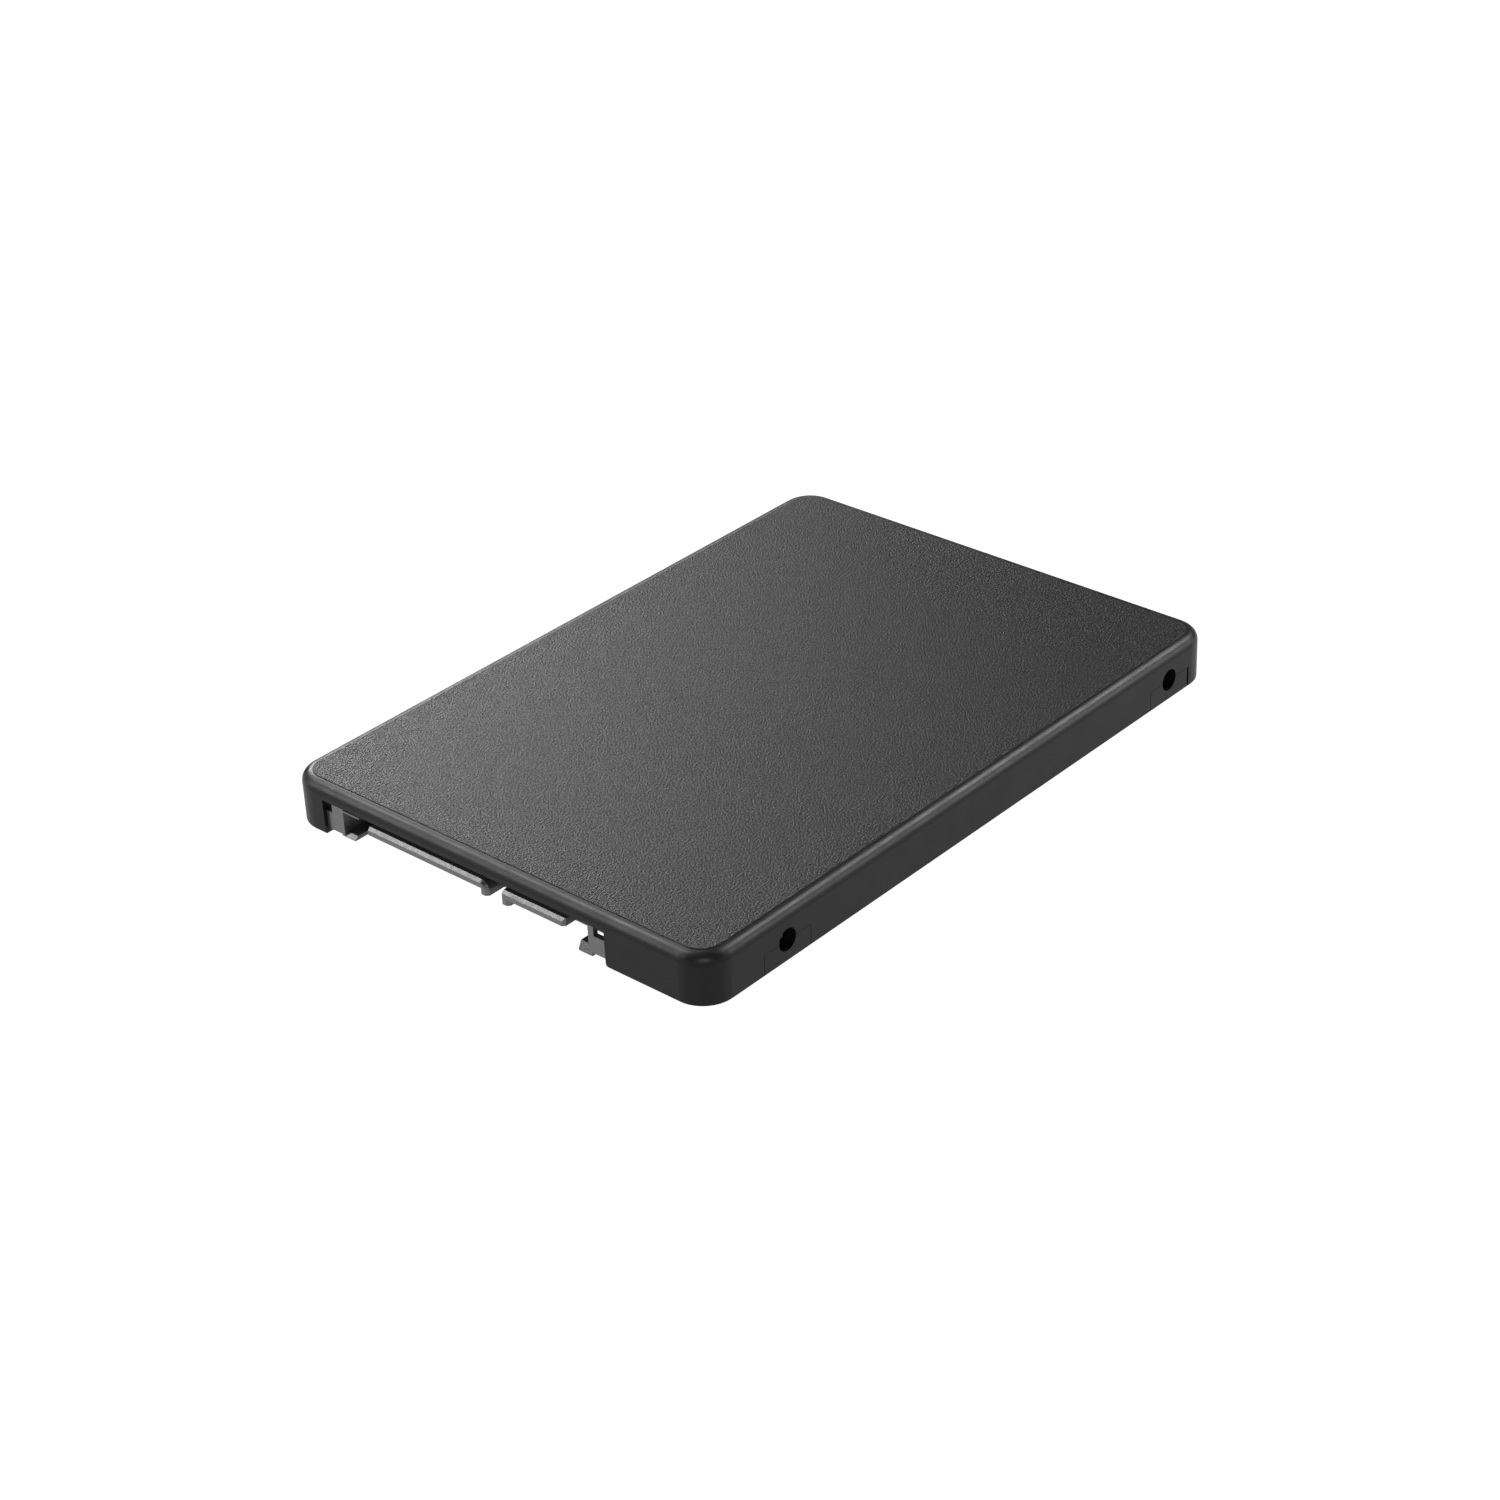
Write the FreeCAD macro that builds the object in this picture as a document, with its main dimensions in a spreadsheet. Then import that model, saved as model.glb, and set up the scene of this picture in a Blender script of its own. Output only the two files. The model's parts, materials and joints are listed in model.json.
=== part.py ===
import FreeCAD, Part
import math
import os
import re
import Sketcher

# A 2.5 inch solid state drive, 7 mm thick, in millimetres.
# The origin is the centre of the footprint on the underside. +Z is up through the blank top face,
# +Y runs from the connector end to the far end, and the power half of the connector is towards -X.

DIMENSIONS = {
    # Outside of the case.
    "case_width": 69.85,
    "case_length": 100.0,
    "case_height": 7.0,
    "corner_round": 4.3,
    "top_round": 1.4,
    "bottom_round": 0.3,
    "rim_width": 1.45,
    "panel_rise": 0.06,
    "panel_taper": 25.0,
    "wall": 1.25,
    "roof": 1.2,
    "floor": 1.0,
    "cover_gap": 0.08,
    # Mounting holes: places from the connector end, the sides and the underside.
    "front_hole_reach": 14.0,
    "rear_hole_reach": 90.6,
    "side_hole_rise": 3.0,
    "bottom_hole_inset": 4.07,
    "screw_passage_radius": 1.5,
    "thread_radius": 1.25,
    "thread_depth": 3.2,
    # Tabs of the bottom cover, which fill notches in the side walls under the side holes.
    "tab_width": 8.2,
    "tab_thickness": 1.5,
    "tab_slit": 0.38,
    # Metal blocks that hold the mounting threads.
    "insert_width": 6.0,
    "insert_length": 7.8,
    "insert_rise": 4.4,
    "insert_bevel": 0.3,
    # Case screws and the posts that they turn into.
    "case_screw_inset": 3.7,
    "case_screw_reach": 3.5,
    "post_radius": 1.7,
    "case_screw_radius": 0.7,
    "case_screw_head_radius": 1.2,
    "case_screw_head_depth": 0.7,
    "case_screw_sink": 0.1,
    "case_screw_length": 3.6,
    "case_driver_reach": 1.5,
    "screw_gap": 0.05,
    "pilot_spare": 0.3,
    # Board screws, put in from below.
    "board_screw_radius": 0.8,
    "board_screw_head_radius": 1.5,
    "board_screw_head_depth": 0.6,
    "board_screw_length": 2.3,
    "board_driver_reach": 2.0,
    "board_post_radius": 2.0,
    "driver_slot_width": 0.35,
    "driver_slot_depth": 0.35,
    # Label on the underside, in a shallow recess.
    "label_width": 50.0,
    "label_length": 56.0,
    "label_y": 6.0,
    "label_thickness": 0.1,
    "label_recess": 0.15,
    "label_margin": 0.4,
    "label_corner": 1.5,
    # Connector opening in the front wall.
    "connector_x": -4.825,
    "opening_width": 47.8,
    "opening_height": 4.93,
    "opening_flare": 0.7,
    "floor_cutout_reach": 8.6,
    # Connector housing: reaches are from the connector end of the case.
    "base_front_reach": 4.7,
    "base_back_reach": 8.5,
    "base_bottom": 0.3,
    "base_top": 4.7,
    "base_width": 42.6,
    "tongue_front_reach": 0.5,
    "tongue_bottom": 2.45,
    "tongue_top": 3.5,
    "tongue_lead_in": 0.37,
    "key_width": 1.05,
    "key_bottom": 1.6,
    "key_round": 1.2,
    "power_tongue_left": -16.4,
    "power_tongue_width": 20.6,
    "signal_tongue_left": 6.7,
    "signal_tongue_width": 10.2,
    # Guide arms at the two ends of the housing.
    "guide_wall": 0.5,
    "power_guide_bottom": 0.52,
    "power_guide_foot_top": 1.05,
    "power_guide_foot_width": 2.3,
    "power_guide_slope_start": 0.08,
    "power_guide_slope_length": 0.5,
    "power_guide_lip_bottom": 4.05,
    "power_guide_lip_top": 4.3,
    "power_guide_lip_width": 3.4,
    "signal_guide_width": 2.2,
    "signal_guide_bottom": 0.2,
    "signal_guide_foot_top": 1.4,
    "signal_guide_foot_reach": 2.9,
    "signal_guide_slope_start": 0.25,
    "signal_guide_slope_length": 0.5,
    "signal_guide_post_top": 4.8,
    # Ear plates that fill the ends of the opening, each with a low outer shoulder.
    "ear_front_reach": 0.5,
    "ear_back_reach": 1.25,
    "ear_gap": 0.05,
    "ear_bottom": 0.75,
    "ear_top": 4.85,
    "power_ear_shoulder": 3.3,
    "signal_ear_shoulder": 3.2,
    "power_ear_tall_width": 1.5,
    "signal_ear_tall_width": 0.4,
    # Contacts, on the underside of the tongues.
    "contact_pitch": 1.27,
    "contact_width": 0.72,
    "contact_thickness": 0.2,
    "contact_bottom": 2.45,
    "contact_front_reach": 1.5,
    "long_contact_lead": 0.5,
    "contact_tail_reach": 10.0,
    "power_contact_middle": -6.65,
    "signal_contact_middle": 12.39,
    "hold_down_width": 2.2,
    "hold_down_offset": 18.6,
    "hold_down_front_reach": 7.2,
    "hold_down_back_reach": 10.6,
    # Circuit board.
    "board_width": 53.0,
    "board_front_reach": 8.6,
    "board_length": 62.0,
    "board_thickness": 1.0,
    "board_corner": 1.2,
    "board_hole_inset": 3.2,
    "board_hole_front": 12.0,
    "board_hole_rear": 58.6,
    "board_hole_radius": 1.0,
    # Places on the board: across from the middle, and along from the board's connector end.
    "controller_x": -8.0,
    "controller_along": 13.5,
    "cache_x": 7.0,
    "cache_along": 12.0,
    "flash_offset": 10.0,
    "flash_along": 42.0,
    "regulator_x": 17.0,
    "regulator_along": 7.0,
    "boot_chip_x": -19.0,
    "boot_chip_along": 24.0,
    "first_coil_along": 13.5,
    "second_coil_along": 19.0,
    "oscillator_along": 10.25,
    "fuse_x": 10.0,
    "fuse_along": 3.0,
    "tantalum_x": -17.0,
    "tantalum_pitch": 5.0,
    "tantalum_along": 56.0,
    "ceramic_x": -14.0,
    "ceramic_front_along": 4.5,
    "ceramic_rear_along": 22.5,
    "ceramic_under_along": 13.5,
    "resistor_left_x": 0.0,
    "resistor_left_along": 9.0,
    "resistor_right_x": 12.5,
    "resistor_right_along": 8.0,
    "small_pitch": 1.7,
    # Packages and components on the board.
    "package_bevel": 0.12,
    "package_dot_radius": 0.4,
    "package_dot_depth": 0.05,
    "package_dot_inset": 1.1,
    "controller_size": 14.0,
    "controller_thickness": 1.1,
    "memory_width": 12.0,
    "memory_length": 18.0,
    "memory_thickness": 1.0,
    "cache_width": 7.5,
    "cache_length": 11.0,
    "cache_thickness": 1.0,
    "regulator_size": 5.0,
    "regulator_thickness": 0.85,
    "boot_chip_width": 5.0,
    "boot_chip_length": 4.0,
    "boot_chip_thickness": 0.8,
    "coil_size": 4.0,
    "coil_thickness": 1.6,
    "coil_corner": 0.5,
    "oscillator_width": 3.2,
    "oscillator_length": 2.5,
    "oscillator_thickness": 0.7,
    "oscillator_corner": 0.3,
    "fuse_width": 3.2,
    "fuse_length": 1.6,
    "fuse_thickness": 0.8,
    "tantalum_width": 3.5,
    "tantalum_length": 2.8,
    "tantalum_thickness": 1.3,
    "ceramic_width": 1.0,
    "ceramic_length": 0.5,
    "ceramic_thickness": 0.5,
    "resistor_width": 0.5,
    "resistor_length": 1.0,
    "resistor_thickness": 0.35,
    "thermal_pad_inset": 1.0,
}

# How many there are of the repeated pieces, and which contacts are longer, counted from the left.
POWER_CONTACTS = 15
SIGNAL_CONTACTS = 7
LONG_POWER_CONTACTS = (4, 12)
LONG_SIGNAL_CONTACTS = (1, 4, 7)
TANTALUMS = 4
CERAMICS_PER_ROW = 8
RESISTORS_PER_COLUMN = 6

Vector = FreeCAD.Vector

document = FreeCAD.newDocument("solid_state_drive")
sheet = document.addObject("Spreadsheet::Sheet", "Dims")
for row, (alias, size) in enumerate(DIMENSIONS.items(), start=1):
    sheet.set(f"A{row}", alias)
    sheet.set(f"B{row}", str(size))
    sheet.setAlias(f"B{row}", alias)
document.recompute()

sub_parts = []


def bound(text):
    """An expression over the sheet's cells: every alias in the text gets the sheet's name."""
    return re.sub(r"[a-z]\w*", lambda word: "Dims." + word.group(), str(text))


def value(text):
    """What an expression over the sheet's cells comes to."""
    return float(sheet.evalExpression(bound(text)))


def bind(thing, **expressions):
    """Bind properties to expressions; a double underscore stands for the dot of a sub-property."""
    for name, text in expressions.items():
        thing.setExpression(name.replace("__", "."), bound(text))


def from_front(reach):
    """The Y coordinate of a place given by its reach from the connector end."""
    return f"({reach}) - case_length / 2"


def on_board(along):
    """The Y coordinate of a place given by its distance from the board's connector end."""
    return from_front(f"board_front_reach + {along}")


def sub_part(thing, label):
    thing.Label = label
    sub_parts.append(thing)
    return thing


# Sketches and PartDesign features.

def new_body(label):
    return sub_part(document.addObject("PartDesign::Body", label), label)


def new_sketch(body, role, offset):
    """A sketch on an origin plane of the body, moved along the plane's normal by the offset."""
    sketch = body.newObject("Sketcher::SketchObject", "sketch")
    plane = next(f for f in body.Origin.OriginFeatures if f.Role == role)
    sketch.AttachmentSupport = [(plane, "")]
    sketch.MapMode = "FlatFace"
    bind(sketch, AttachmentOffset__Base__z=offset)
    return sketch


def hold(sketch, name, constraint, expression):
    """Add a dimension to a sketch and bind it."""
    sketch.renameConstraint(sketch.addConstraint(constraint), name)
    bind(sketch, **{f"Constraints__{name}": expression})


def add_rectangle(sketch, left, bottom, width, height):
    tag = sketch.GeometryCount
    corners = [Vector(0, 0), Vector(1, 0), Vector(1, 1), Vector(0, 1)]
    sides = []
    for start, end in zip(corners, corners[1:] + corners[:1]):
        sides.append(sketch.addGeometry(Part.LineSegment(start, end), False))
    for side, following in zip(sides, sides[1:] + sides[:1]):
        sketch.addConstraint(Sketcher.Constraint("Coincident", side, 2, following, 1))
    for side, direction in zip(sides, ("Horizontal", "Vertical") * 2):
        sketch.addConstraint(Sketcher.Constraint(direction, side))
    first, second = sides[0], sides[1]
    hold(sketch, f"width{tag}", Sketcher.Constraint("DistanceX", first, 1, first, 2, 1.0), width)
    hold(sketch, f"height{tag}", Sketcher.Constraint("DistanceY", second, 1, second, 2, 1.0), height)
    hold(sketch, f"left{tag}", Sketcher.Constraint("DistanceX", -1, 1, first, 1, 0.0), left)
    hold(sketch, f"bottom{tag}", Sketcher.Constraint("DistanceY", -1, 1, first, 1, 0.0), bottom)


def add_rounded_rectangle(sketch, left, bottom, width, height, radius):
    """A rectangle with equal arcs for corners, drawn where its dimensions will hold it."""
    tag = sketch.GeometryCount
    near_x, near_y, size_x, size_y, bend = map(value, (left, bottom, width, height, radius))
    low_x, high_x = near_x + bend, near_x + size_x - bend
    low_y, high_y = near_y + bend, near_y + size_y - bend
    far_x, far_y = near_x + size_x, near_y + size_y
    runs = (((low_x, near_y), (high_x, near_y)), ((far_x, low_y), (far_x, high_y)),
            ((high_x, far_y), (low_x, far_y)), ((near_x, high_y), (near_x, low_y)))
    centres = ((high_x, low_y), (high_x, high_y), (low_x, high_y), (low_x, low_y))
    sides = []
    for start, end in runs:
        sides.append(sketch.addGeometry(Part.LineSegment(Vector(*start), Vector(*end)), False))
    corners = []
    for turn, centre in enumerate(centres):
        ring = Part.Circle(Vector(*centre), Vector(0, 0, 1), bend)
        arc = Part.ArcOfCircle(ring, (turn - 1) * math.pi / 2, turn * math.pi / 2)
        corners.append(sketch.addGeometry(arc, False))
    for side, corner, following in zip(sides, corners, sides[1:] + sides[:1]):
        sketch.addConstraint(Sketcher.Constraint("Tangent", side, 2, corner, 1))
        sketch.addConstraint(Sketcher.Constraint("Tangent", corner, 2, following, 1))
    for side, direction in zip(sides, ("Horizontal", "Vertical") * 2):
        sketch.addConstraint(Sketcher.Constraint(direction, side))
    for corner in corners[1:]:
        sketch.addConstraint(Sketcher.Constraint("Equal", corners[0], corner))
    bottom_side, right_side, top_side, left_side = sides
    hold(sketch, f"radius{tag}", Sketcher.Constraint("Radius", corners[0], bend), radius)
    hold(sketch, f"width{tag}",
         Sketcher.Constraint("DistanceX", left_side, 1, right_side, 1, size_x), width)
    hold(sketch, f"height{tag}",
         Sketcher.Constraint("DistanceY", bottom_side, 1, top_side, 1, size_y), height)
    hold(sketch, f"left{tag}", Sketcher.Constraint("DistanceX", -1, 1, left_side, 1, near_x), left)
    hold(sketch, f"bottom{tag}", Sketcher.Constraint("DistanceY", -1, 1, bottom_side, 1, near_y), bottom)


def add_flare(sketch, left, radius):
    """The corner between a wall's end and its foot, outside a quarter circle that rounds it."""
    near, bend = value(left), value(radius)
    corner, beside, above = Vector(near, 0), Vector(near + bend, 0), Vector(near, bend)
    foot = sketch.addGeometry(Part.LineSegment(corner, beside), False)
    edge = sketch.addGeometry(Part.LineSegment(above, corner), False)
    ring = Part.Circle(Vector(near + bend, bend), Vector(0, 0, 1), bend)
    arc = sketch.addGeometry(Part.ArcOfCircle(ring, math.pi, 1.5 * math.pi), False)
    joints = ((edge, 2, foot, 1), (arc, 1, edge, 1), (arc, 2, foot, 2))
    for first, first_end, second, second_end in joints:
        sketch.addConstraint(Sketcher.Constraint("Coincident", first, first_end, second, second_end))
    sketch.addConstraint(Sketcher.Constraint("Horizontal", foot))
    sketch.addConstraint(Sketcher.Constraint("Vertical", edge))
    sketch.addConstraint(Sketcher.Constraint("PointOnObject", foot, 1, -1))
    hold(sketch, "width", Sketcher.Constraint("DistanceX", foot, 1, foot, 2, bend), radius)
    hold(sketch, "height", Sketcher.Constraint("DistanceY", edge, 2, edge, 1, bend), radius)
    hold(sketch, "radius", Sketcher.Constraint("Radius", arc, bend), radius)
    hold(sketch, "left", Sketcher.Constraint("DistanceX", -1, 1, foot, 1, near), left)


def add_circle(sketch, across, up, radius):
    tag = sketch.GeometryCount
    ring = sketch.addGeometry(Part.Circle(Vector(0, 0), Vector(0, 0, 1), 1), False)
    hold(sketch, f"radius{tag}", Sketcher.Constraint("Radius", ring, 1.0), radius)
    hold(sketch, f"across{tag}", Sketcher.Constraint("DistanceX", -1, 1, ring, 3, 0.0), across)
    hold(sketch, f"up{tag}", Sketcher.Constraint("DistanceY", -1, 1, ring, 3, 0.0), up)


def pad(body, sketch, length, backwards=False):
    feature = body.newObject("PartDesign::Pad", "pad")
    feature.Profile = sketch
    feature.Reversed = backwards
    bind(feature, Length=length)
    document.recompute()
    return feature


def pocket(body, sketch, length=None, backwards=False):
    """Cut a sketch into the body: to a length, or with none right through, both ways."""
    before = body.Shape.Volume
    feature = body.newObject("PartDesign::Pocket", "pocket")
    feature.Profile = sketch
    feature.Reversed = backwards
    if length is None:
        feature.Type = "ThroughAll"
        feature.SideType = "Symmetric"
    else:
        bind(feature, Length=length)
    document.recompute()
    if body.Shape.Volume > before - 1e-4:
        raise RuntimeError(f"a pocket in {body.Label} cuts nothing")
    return feature


def dress(body, kind, size, wanted):
    """Round or bevel the edges whose bounding box passes the test."""
    base = body.Tip
    names = []
    for number, edge in enumerate(base.Shape.Edges, start=1):
        if wanted(edge.BoundBox):
            names.append(f"Edge{number}")
    feature = body.newObject(f"PartDesign::{kind}", kind.lower())
    feature.Base = (base, names)
    bind(feature, **{"Radius" if kind == "Fillet" else "Size": size})
    document.recompute()
    return feature


def level(low, high, wanted):
    """True where a bounding box is flat and lies at the wanted coordinate."""
    return abs(low - wanted) < 1e-4 and abs(high - wanted) < 1e-4


def upright(box):
    return box.XLength < 1e-4 and box.YLength < 1e-4


# Part primitives.

def new_box(left, front, bottom, width, length, height):
    block = document.addObject("Part::Box", "block")
    bind(block, Placement__Base__x=left, Placement__Base__y=front, Placement__Base__z=bottom)
    bind(block, Length=width, Width=length, Height=height)
    return block


def new_cylinder(across, along, bottom, radius, height):
    rod = document.addObject("Part::Cylinder", "rod")
    bind(rod, Placement__Base__x=across, Placement__Base__y=along, Placement__Base__z=bottom)
    bind(rod, Radius=radius, Height=height)
    return rod


def new_cone(across, along, bottom, lower_radius, upper_radius, height):
    taper = document.addObject("Part::Cone", "taper")
    bind(taper, Placement__Base__x=across, Placement__Base__y=along, Placement__Base__z=bottom)
    bind(taper, Radius1=lower_radius, Radius2=upper_radius, Height=height)
    return taper


def join(first, second):
    fused = document.addObject("Part::Fuse", "joined")
    fused.Base = first
    fused.Tool = second
    return fused


def cut(base, tool):
    trimmed = document.addObject("Part::Cut", "trimmed")
    trimmed.Base = base
    trimmed.Tool = tool
    return trimmed


def group(label, pieces):
    """Separate solids that share one node."""
    bundle = document.addObject("Part::Compound", label)
    bundle.Links = pieces
    return sub_part(bundle, label)


# Places that several pieces share.

SIDES = (-1, 1)
HOLE_YS = (from_front("front_hole_reach"), from_front("rear_hole_reach"))
CASE_SCREW_YS = (from_front("case_screw_reach"), "case_length / 2 - case_screw_reach")
BOARD_TOP = "(contact_bottom + contact_thickness + board_thickness)"
BOARD_UNDERSIDE = "(contact_bottom + contact_thickness)"
CEILING = "(case_height - roof)"
INTO_BASE = "(base_front_reach + 0.1)"


def case_screw_places():
    for side in SIDES:
        for along in CASE_SCREW_YS:
            yield f"{side} * (case_width / 2 - case_screw_inset)", along


def board_hole_places():
    for side in SIDES:
        for along in ("board_hole_front", "board_hole_rear"):
            yield f"{side} * (board_width / 2 - board_hole_inset)", on_board(along)


# Covers.

def top_cover():
    """The shell that makes the top face and all four side walls."""
    body = new_body("top_cover")
    outline = new_sketch(body, "XY_Plane", 0)
    add_rectangle(outline, "-case_width / 2", "-case_length / 2", "case_width", "case_length")
    pad(body, outline, "case_height - panel_rise")
    dress(body, "Fillet", "corner_round", upright)
    top = sheet.case_height - sheet.panel_rise
    dress(body, "Fillet", "top_round", lambda box: level(box.ZMin, box.ZMax, top))
    dress(body, "Fillet", "bottom_round", lambda box: level(box.ZMin, box.ZMax, 0))

    # The top face stands a little higher than its rounded rim, with a small step between them.
    panel = new_sketch(body, "XY_Plane", "case_height - panel_rise")
    add_rounded_rectangle(panel, "rim_width - case_width / 2", "rim_width - case_length / 2",
                          "case_width - 2 * rim_width", "case_length - 2 * rim_width",
                          "corner_round - rim_width")
    step = pad(body, panel, "panel_rise")
    bind(step, TaperAngle="-panel_taper")
    document.recompute()

    hollow = new_sketch(body, "XY_Plane", 0)
    add_rounded_rectangle(hollow, "wall - case_width / 2", "wall - case_length / 2",
                          "case_width - 2 * wall", "case_length - 2 * wall", "corner_round - wall")
    pocket(body, hollow, "case_height - roof", backwards=True)

    # Posts for the case screws, posts for the board screws and seats over the metal inserts.
    posts = new_sketch(body, "XY_Plane", "floor + cover_gap")
    for across, along in case_screw_places():
        add_circle(posts, across, along, "post_radius")
    pad(body, posts, "case_height - roof - floor - cover_gap + 0.1")
    board_posts = new_sketch(body, "XY_Plane", BOARD_TOP)
    for across, along in board_hole_places():
        add_circle(board_posts, across, along, "board_post_radius")
    pad(body, board_posts, f"{CEILING} - {BOARD_TOP} + 0.1")
    seats = new_sketch(body, "XY_Plane", "floor + insert_rise")
    for side in SIDES:
        for hole_y in HOLE_YS:
            middle = f"{side} * (case_width / 2 - tab_thickness - insert_width / 2)"
            add_rectangle(seats, f"{middle} - insert_width / 2", f"{hole_y} - insert_length / 2",
                          "insert_width", "insert_length")
    pad(body, seats, f"{CEILING} - floor - insert_rise + 0.1")
    pilots = new_sketch(body, "XY_Plane", "floor")
    for across, along in case_screw_places():
        add_circle(pilots, across, along, "case_screw_radius")
    pocket(body, pilots, "case_screw_length + pilot_spare", backwards=True)
    board_pilots = new_sketch(body, "XY_Plane", BOARD_TOP)
    for across, along in board_hole_places():
        add_circle(board_pilots, across, along, "board_screw_radius")
    pocket(body, board_pilots, "board_screw_length - board_thickness + pilot_spare", backwards=True)

    # Opening for the connector, open at the underside, with a flared corner at the signal end.
    opening = new_sketch(body, "XY_Plane", 0)
    add_rectangle(opening, "connector_x - opening_width / 2", "-case_length / 2 - 1",
                  "opening_width", "wall + 1")
    pocket(body, opening, "opening_height", backwards=True)
    flare = new_sketch(body, "XZ_Plane", "case_length / 2 + 1")
    add_flare(flare, "connector_x + opening_width / 2", "opening_flare")
    pocket(body, flare, "wall + 1")

    # Notches for the tabs of the bottom cover, and the upper halves of the side holes.
    notches = new_sketch(body, "XY_Plane", 0)
    for side in SIDES:
        left = "case_width / 2 - wall - 0.5" if side > 0 else "-case_width / 2 - 0.5"
        for hole_y, slit in zip(HOLE_YS, ("cover_gap", "tab_slit")):
            add_rectangle(notches, left, f"{hole_y} - tab_width / 2 - cover_gap",
                          "wall + 1", f"tab_width + cover_gap + {slit}")
    pocket(body, notches, "side_hole_rise", backwards=True)
    side_holes = new_sketch(body, "YZ_Plane", 0)
    for hole_y in HOLE_YS:
        add_circle(side_holes, hole_y, "side_hole_rise", "screw_passage_radius")
    pocket(body, side_holes)


def bottom_cover():
    """The plate that closes the shell, with a tab under each side hole."""
    body = new_body("bottom_cover")
    plate = new_sketch(body, "XY_Plane", 0)
    add_rounded_rectangle(plate, "wall + cover_gap - case_width / 2",
                          "wall + cover_gap - case_length / 2", "case_width - 2 * wall - 2 * cover_gap",
                          "case_length - 2 * wall - 2 * cover_gap", "corner_round - wall - cover_gap")
    pad(body, plate, "floor")

    tabs = new_sketch(body, "XY_Plane", 0)
    for side in SIDES:
        left = "case_width / 2 - tab_thickness" if side > 0 else "-case_width / 2"
        for hole_y in HOLE_YS:
            add_rectangle(tabs, left, f"{hole_y} - tab_width / 2", "tab_thickness", "tab_width")
    pad(body, tabs, "side_hole_rise - cover_gap / 2")
    outer_x = sheet.case_width / 2
    dress(body, "Fillet", "bottom_round", lambda box: level(box.ZMin, box.ZMax, 0)
          and level(abs(box.XMin), abs(box.XMax), outer_x))
    side_holes = new_sketch(body, "YZ_Plane", 0)
    for hole_y in HOLE_YS:
        add_circle(side_holes, hole_y, "side_hole_rise", "screw_passage_radius")
    pocket(body, side_holes)

    # The floor is cut back under the connector.
    cutout = new_sketch(body, "XY_Plane", 0)
    add_rectangle(cutout, "connector_x - opening_width / 2", "-case_length / 2",
                  "opening_width", "floor_cutout_reach")
    pocket(body, cutout)
    bottom_holes = new_sketch(body, "XY_Plane", 0)
    for side in SIDES:
        for hole_y in HOLE_YS:
            add_circle(bottom_holes, f"{side} * (case_width / 2 - bottom_hole_inset)", hole_y,
                       "screw_passage_radius")
    pocket(body, bottom_holes)
    recess = new_sketch(body, "XY_Plane", 0)
    add_rounded_rectangle(recess, "-label_width / 2 - label_margin",
                          "label_y - label_length / 2 - label_margin", "label_width + 2 * label_margin",
                          "label_length + 2 * label_margin", "label_corner + label_margin")
    pocket(body, recess, "label_recess", backwards=True)

    # Countersunk holes for the case screws.
    heads = new_sketch(body, "XY_Plane", 0)
    for across, along in case_screw_places():
        add_circle(heads, across, along, "case_screw_radius")
    pocket(body, heads)
    for across, along in case_screw_places():
        countersink(body, across, along)


def countersink(body, across, along):
    """A conical seat in the underside for one case screw."""
    before = body.Shape.Volume
    seat = body.newObject("PartDesign::SubtractiveCone", "seat")
    bind(seat, Radius1="case_screw_head_radius + 2 * case_screw_sink", Radius2="case_screw_radius",
         Height="case_screw_head_depth + case_screw_sink")
    plane = next(f for f in body.Origin.OriginFeatures if f.Role == "XY_Plane")
    seat.AttachmentSupport = [(plane, "")]
    seat.MapMode = "FlatFace"
    bind(seat, AttachmentOffset__Base__x=across, AttachmentOffset__Base__y=along)
    document.recompute()
    if body.Shape.Volume > before - 1e-4:
        raise RuntimeError("a countersink cuts nothing")


def underside_label():
    body = new_body("underside_label")
    outline = new_sketch(body, "XY_Plane", "label_recess - label_thickness")
    add_rounded_rectangle(outline, "-label_width / 2", "label_y - label_length / 2", "label_width",
                          "label_length", "label_corner")
    pad(body, outline, "label_thickness")


def mounting_inserts():
    """Four metal blocks, each with a thread that opens at the side and one at the underside."""
    for side, side_name in zip(SIDES, ("left", "right")):
        for hole_y, end_name in zip(HOLE_YS, ("front", "rear")):
            body = new_body(f"mounting_insert_{end_name}_{side_name}")
            middle = f"{side} * (case_width / 2 - tab_thickness - insert_width / 2)"
            outline = new_sketch(body, "XY_Plane", "floor")
            add_rectangle(outline, f"{middle} - insert_width / 2", f"{hole_y} - insert_length / 2",
                          "insert_width", "insert_length")
            pad(body, outline, "insert_rise")
            dress(body, "Chamfer", "insert_bevel", upright)
            bottom_thread = new_sketch(body, "XY_Plane", "floor")
            add_circle(bottom_thread, f"{side} * (case_width / 2 - bottom_hole_inset)", hole_y,
                       "thread_radius")
            pocket(body, bottom_thread, "thread_depth", backwards=True)
            side_thread = new_sketch(body, "YZ_Plane", f"{side} * (case_width / 2 - tab_thickness)")
            add_circle(side_thread, hole_y, "side_hole_rise", "thread_radius")
            pocket(body, side_thread, "bottom_hole_inset - tab_thickness", backwards=side < 0)


# Fasteners.

def driver_cross(across, along, bottom, reach):
    """The cross-shaped recess for a screwdriver, as a tool to cut with."""
    bars = []
    for width, length in ((reach, "driver_slot_width"), ("driver_slot_width", reach)):
        bars.append(new_box(f"{across} - {width} / 2", f"{along} - {length} / 2", bottom,
                            width, length, "driver_slot_depth"))
    return join(*bars)


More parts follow.
